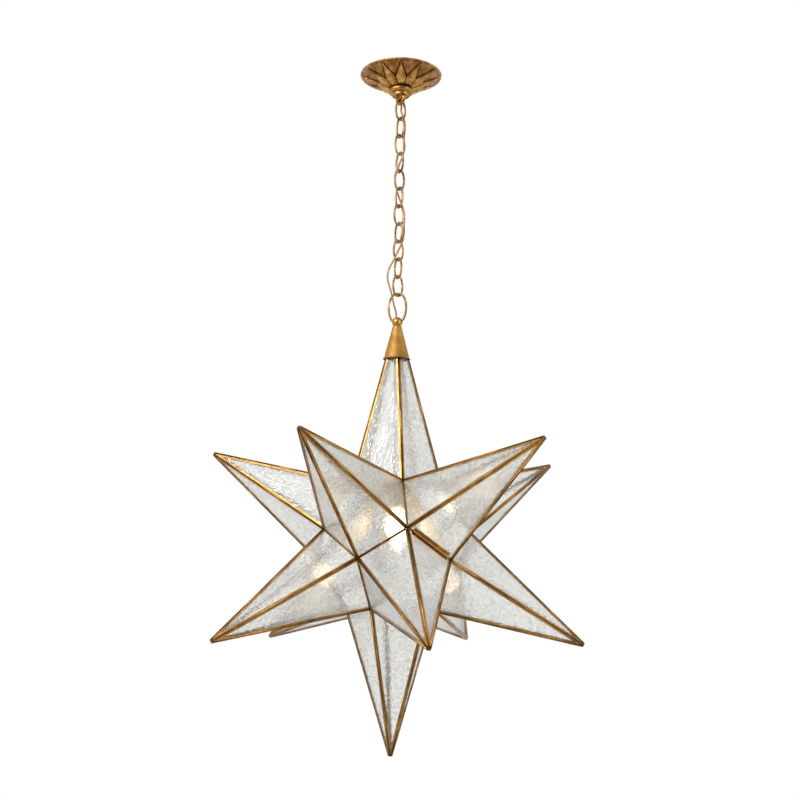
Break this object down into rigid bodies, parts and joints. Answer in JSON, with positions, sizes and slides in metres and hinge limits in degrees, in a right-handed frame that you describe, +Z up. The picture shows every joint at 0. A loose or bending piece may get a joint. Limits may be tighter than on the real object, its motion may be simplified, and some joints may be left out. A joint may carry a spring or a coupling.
{
  "type": "star pendant ceiling light",
  "caption": "Glass star ceiling lantern with long pointed rays in soldered brass came, hung on a chain from a sunburst canopy, with a hinged lamp door and candle lamps inside.",
  "frame": {"origin": "middle of the crossbar's slots in the plane of the ceiling, on the pendant's axis", "axes": "+Z up out of the ceiling plane, +X to the right of the viewer, who stands at -Y"},
  "size_m": [0.6182, 0.6154, 1.1547],
  "materials": {
    "gilded_brass": "antique gilded, worn",
    "brass_came": "antique brass with dark edges",
    "rippled_glass": "clear rippled",
    "plated_steel": "zinc plated",
    "socket_sleeve": "candle sleeve",
    "bulb_cap_metal": "rolled thread",
    "bulb_glass": "lit, warm",
    "cord_jacket": "gold tinted"
  },
  "bodies": {
    "ceiling_mount": {"mounting_crossbar": "plated_steel", "ground_screw": "plated_steel", "threaded_nipple": "plated_steel", "nipple_locknut": "plated_steel", "canopy_loop": "gilded_brass", "lamp_cord": "cord_jacket"},
    "canopy_cover": {"canopy": "gilded_brass", "collar_ring": "gilded_brass"},
    "link_01": {"chain_link_01": "gilded_brass"},
    "link_02": {"chain_link_02": "gilded_brass"},
    "link_03": {"chain_link_03": "gilded_brass"},
    "link_04": {"chain_link_04": "gilded_brass"},
    "link_05": {"chain_link_05": "gilded_brass"},
    "link_06": {"chain_link_06": "gilded_brass"},
    "link_07": {"chain_link_07": "gilded_brass"},
    "link_08": {"chain_link_08": "gilded_brass"},
    "link_09": {"chain_link_09": "gilded_brass"},
    "link_10": {"chain_link_10": "gilded_brass"},
    "link_11": {"chain_link_11": "gilded_brass"},
    "ring": {"hanging_ring": "gilded_brass"},
    "star": {"ball_finial": "gilded_brass", "cone_cap": "gilded_brass", "top_plate": "plated_steel", "stem_nut": "plated_steel", "stem_tube": "plated_steel", "lamp_hub": "gilded_brass", "candle_sockets": "socket_sleeve", "bulb_screw_caps": "bulb_cap_metal", "bulb_globes": "bulb_glass", "frame_upper_front_left": "brass_came", "frame_upper_front_right": "brass_came", "frame_upper_back_right": "brass_came", "frame_upper_back": "brass_came", "frame_upper_left": "brass_came", "frame_lower_right": "brass_came", "frame_lower_back_right": "brass_came", "frame_lower_back_left": "brass_came", "frame_lower_left": "brass_came", "frame_top": "brass_came", "frame_bottom": "brass_came", "glass_upper_front_left": "rippled_glass", "glass_upper_front_right": "rippled_glass", "glass_upper_back_right": "rippled_glass", "glass_upper_back": "rippled_glass", "glass_upper_left": "rippled_glass", "glass_lower_right": "rippled_glass", "glass_lower_back_right": "rippled_glass", "glass_lower_back_left": "rippled_glass", "glass_lower_left": "rippled_glass", "glass_top": "rippled_glass", "glass_bottom": "rippled_glass", "hinge_leaf_frame": "brass_came", "hinge_pin": "brass_came"},
    "door": {"frame_door": "brass_came", "glass_door": "rippled_glass", "hinge_leaf_door": "brass_came"}
  },
  "joints": [
    {"name": "loop_to_link_01", "type": "hinge", "parent": "ceiling_mount", "child": "link_01", "pos_m": [0, 0, -0.0505], "axis": [0.5878, -0.809, 0], "range_deg": [-15, 15], "deforming": ["lamp_cord"]},
    {"name": "link_01_to_link_02", "type": "hinge", "parent": "link_01", "child": "link_02", "pos_m": [0, 0, -0.07985], "axis": [0.809, 0.5878, 0], "range_deg": [-15, 15]},
    {"name": "link_02_to_link_03", "type": "hinge", "parent": "link_02", "child": "link_03", "pos_m": [0, 0, -0.11065], "axis": [0.5878, -0.809, 0], "range_deg": [-15, 15]},
    {"name": "link_03_to_link_04", "type": "hinge", "parent": "link_03", "child": "link_04", "pos_m": [0, 0, -0.14145], "axis": [0.809, 0.5878, 0], "range_deg": [-15, 15]},
    {"name": "link_04_to_link_05", "type": "hinge", "parent": "link_04", "child": "link_05", "pos_m": [0, 0, -0.17225], "axis": [0.5878, -0.809, 0], "range_deg": [-15, 15]},
    {"name": "link_05_to_link_06", "type": "hinge", "parent": "link_05", "child": "link_06", "pos_m": [0, 0, -0.20305], "axis": [0.809, 0.5878, 0], "range_deg": [-15, 15]},
    {"name": "link_06_to_link_07", "type": "hinge", "parent": "link_06", "child": "link_07", "pos_m": [0, 0, -0.23385], "axis": [0.5878, -0.809, 0], "range_deg": [-15, 15]},
    {"name": "link_07_to_link_08", "type": "hinge", "parent": "link_07", "child": "link_08", "pos_m": [0, 0, -0.26465], "axis": [0.809, 0.5878, 0], "range_deg": [-15, 15]},
    {"name": "link_08_to_link_09", "type": "hinge", "parent": "link_08", "child": "link_09", "pos_m": [0, 0, -0.29545], "axis": [0.5878, -0.809, 0], "range_deg": [-15, 15]},
    {"name": "link_09_to_link_10", "type": "hinge", "parent": "link_09", "child": "link_10", "pos_m": [0, 0, -0.32625], "axis": [0.809, 0.5878, 0], "range_deg": [-15, 15]},
    {"name": "link_10_to_link_11", "type": "hinge", "parent": "link_10", "child": "link_11", "pos_m": [0, 0, -0.35705], "axis": [0.5878, -0.809, 0], "range_deg": [-15, 15]},
    {"name": "link_11_to_ring", "type": "hinge", "parent": "link_11", "child": "ring", "pos_m": [0, 0, -0.38785], "axis": [0.809, 0.5878, 0], "range_deg": [-15, 15]},
    {"name": "ring_to_star", "type": "hinge", "parent": "ring", "child": "star", "pos_m": [0, 0, -0.4339], "axis": [0.9511, -0.309, 0], "range_deg": [-15, 15]},
    {"name": "canopy_drop", "type": "slide", "parent": "ceiling_mount", "child": "canopy_cover", "axis": [0, 0, -1], "range_m": [0, 0.016]},
    {"name": "door_hinge", "type": "hinge", "parent": "star", "child": "door", "pos_m": [0.05831, -0.11059, -0.81274], "axis": [-0.7525, -0.3967, 0.5257], "range_deg": [0, 75]}
  ]
}
